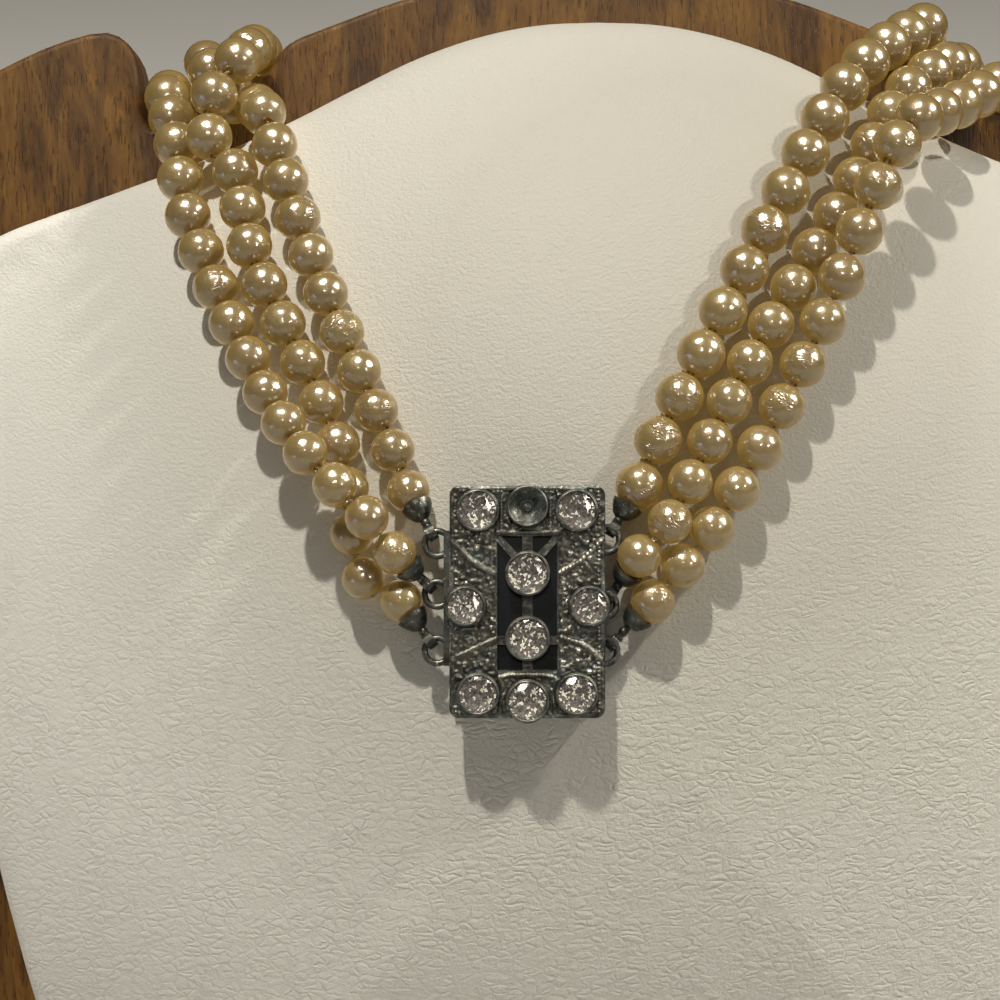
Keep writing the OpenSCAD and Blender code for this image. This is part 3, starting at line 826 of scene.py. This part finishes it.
def smooth_line(points, steps):
    """A smooth curve through the points, with so many steps between neighbours."""
    p = np.array(points, float)
    h = np.linalg.norm(np.diff(p, axis=0), axis=1)
    inner = (p[2:] - p[:-2]) / (h[1:] + h[:-1])[:, None]
    s = np.vstack([(p[1] - p[0]) / h[0], inner, (p[-1] - p[-2]) / h[-1]])
    out = []
    for i in range(len(p) - 1):
        for k in range(steps):
            t = k / steps
            out.append((2 * t**3 - 3 * t**2 + 1) * p[i] + (t**3 - 2 * t**2 + t) * h[i] * s[i]
                       + (3 * t**2 - 2 * t**3) * p[i + 1] + (t**3 - t**2) * h[i] * s[i + 1])
    return np.array(out + [p[-1]])


def build_pad():
    """The padded front: a dome whose edge is rolled over the board."""
    half = smooth_line(EDGE, 10)
    line = np.vstack([half, np.array([(-u, v) for u, v in half[-1:0:-1]])])
    mid = np.array([0.0, DOME_V])
    # radius of the rolled edge, the cover's foot over the board, and how far it lies under the pad's skin
    roll, foot, under = 2.2, 0.15, 0.03
    rows = [("in", s) for s in np.linspace(0.04, 1, 44)]
    rows += [("edge", a) for a in np.linspace(12, 90, 8)]
    rows.append(("wall", 0))
    verts, uv, faces = [], [], []
    n = len(line)
    reach = np.linalg.norm(line - mid, axis=1)
    out = (line - mid) / reach[:, None]
    for kind, s in rows:
        for k in range(n):
            if kind == "in":
                d = s * (reach[k] - roll)
            elif kind == "edge":
                d = reach[k] - roll * (1 - math.sin(math.radians(s)))
            else:
                d = reach[k]
            u, v = mid + out[k] * d
            dome = DOME_TOP - DOME_R + math.sqrt(max(DOME_R**2 - u * u - (v - DOME_V) ** 2, 1))
            w = max(dome, PAD_RIM) - under
            if kind == "edge":
                w -= roll * (1 - math.cos(math.radians(s)))
            w = max(w, foot + 0.4) if kind != "wall" else foot
            verts.append(at(u, v, w))
            uv.append((u / 100, v / 100 - (w / 100 if kind == "wall" else 0)))
    for j in range(len(rows) - 1):
        low, high = j * n, (j + 1) * n
        for k in range(n):
            k2 = (k + 1) % n
            faces.append((low + k, high + k, high + k2, low + k2))
    faces.append(tuple(range(n)))
    faces.append(tuple(reversed(range((len(rows) - 1) * n, len(rows) * n))))
    o = add_mesh("pad_cover", verts, faces, LEATHER, "pad_leather")
    layer = o.data.uv_layers.new(name="face")
    layer.data.foreach_set("uv", [c for loop in o.data.loops for c in uv[loop.vertex_index]])
    bm = bmesh.new()
    bm.from_mesh(o.data)
    bmesh.ops.recalc_face_normals(bm, faces=bm.faces)
    bm.to_mesh(o.data)
    bm.free()
    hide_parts("pad")


def eased(node, name, material, width):
    """A copy of a wooden part with its sharp edges eased."""
    o = add_object(name, NODES[node].data.copy())
    paint(o, material)
    bm = bmesh.new()
    bm.from_mesh(o.data)
    bmesh.ops.remove_doubles(bm, verts=bm.verts, dist=1e-6)
    bmesh.ops.dissolve_limit(bm, angle_limit=math.radians(1), verts=bm.verts, edges=bm.edges)
    bm.to_mesh(o.data)
    bm.free()
    mod = o.modifiers.new("ease", "BEVEL")
    mod.width = width
    mod.segments = 3
    mod.limit_method = "ANGLE"
    mod.angle_limit = math.radians(40)
    o.data.polygons.foreach_set("use_smooth", [True] * len(o.data.polygons))
    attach(o, "root")
    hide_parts(node)


build_pad()
eased("board", "board_eased", WOOD, 0.0009)
eased("base", "base_eased", BASE_WOOD, 0.0012)
for n in ("thread_top", "thread_middle", "thread_low"):
    paint(NODES[n], THREAD)
for n in NODES:
    if n.startswith("tip_") or n == "clasp_tongue":
        paint(NODES[n], TIPS)


# room, lights and camera
floor = bpy.data.meshes.new("floor")
floor.from_pydata([(-3, -3, 0), (3, -3, 0), (3, 3, 0), (-3, 3, 0)], [], [(0, 1, 2, 3)])
floor_o = add_object("floor", floor)
floor.materials.append(plain_material("floor_paint", (0.66, 0.65, 0.63), 0.75))

world = bpy.data.worlds.new("room")
bpy.context.scene.world = world
world.use_nodes = True
bg = world.node_tree.nodes["Background"]
bg.inputs[0].default_value = (0.93, 0.97, 1.05, 1)
bg.inputs[1].default_value = 0.03


# the board point that every lamp faces
AIM = (-8, 95, 30)


def lamp(name, direction, distance, size, power, color=(1, 0.94, 0.81), seen="light"):
    """A round light; its direction is right, up and out of the board. A shine shows only in gloss."""
    d = Vector(direction).normalized()
    target = at(*AIM)
    pos = target + (ACROSS * d.x + UP * d.y + OUT * d.z) * distance
    data = bpy.data.lights.new(name, "AREA")
    data.shape = "DISK"
    data.size = size
    data.energy = power
    data.color = color
    o = add_object(name, data)
    o.location = pos
    o.rotation_euler = (target - pos).to_track_quat("-Z", "Y").to_euler()
    o.visible_glossy = seen == "shine"
    o.visible_diffuse = seen == "light"


# directions of the two lamps whose shadows match the photo's
OVER, RIGHT = (-0.165, 0.845, 0.505), (0.605, 0.71, 0.362)
lamp("lamp_over", OVER, 1.6, 0.06, 21, seen="light")
lamp("lamp_right", RIGHT, 1.2, 0.05, 6, seen="light")
lamp("shine_over", (-0.17, 0.83, 0.53), 1.4, 0.72, 36, seen="shine")
lamp("shine_right", (0.78, 0.54, 0.29), 1.2, 0.52, 18, seen="shine")
lamp("lamp_near", (0.1, 0.0, 0.99), 1.0, 0.3, 0.1, (1, 0.97, 0.92), seen="light")
lamp("shine_near", (-0.04, 0.27, 0.96), 1.0, 0.16, 1.8, seen="shine")
lamp("shine_small_right", (0.66, 0.17, 0.74), 1.0, 0.16, 1.8, seen="shine")
lamp("lamp_blue_left", (-0.8, -0.35, 0.45), 1.0, 0.4, 1.3, (0.45, 0.6, 1.0), seen="shine")
lamp("lamp_low", (-0.3, -0.6, 0.74), 1.2, 0.5, 0.4, (0.85, 0.93, 1.0), seen="light")

cam = bpy.data.cameras.new("camera")
cam_o = add_object("camera", cam)
cam.sensor_width = 36
cam.lens = cam.sensor_width * LENS
cam.clip_start = 0.01
cam_o.matrix_world = Matrix(((1, 0, 0, 0), (0, UP.y, OUT.y, 0), (0, UP.z, OUT.z, 0), (0, 0, 0, 1)))
cam_o.location = at(*CAMERA)
bpy.context.scene.camera = cam_o
bpy.context.scene.view_settings.view_transform = "Standard"
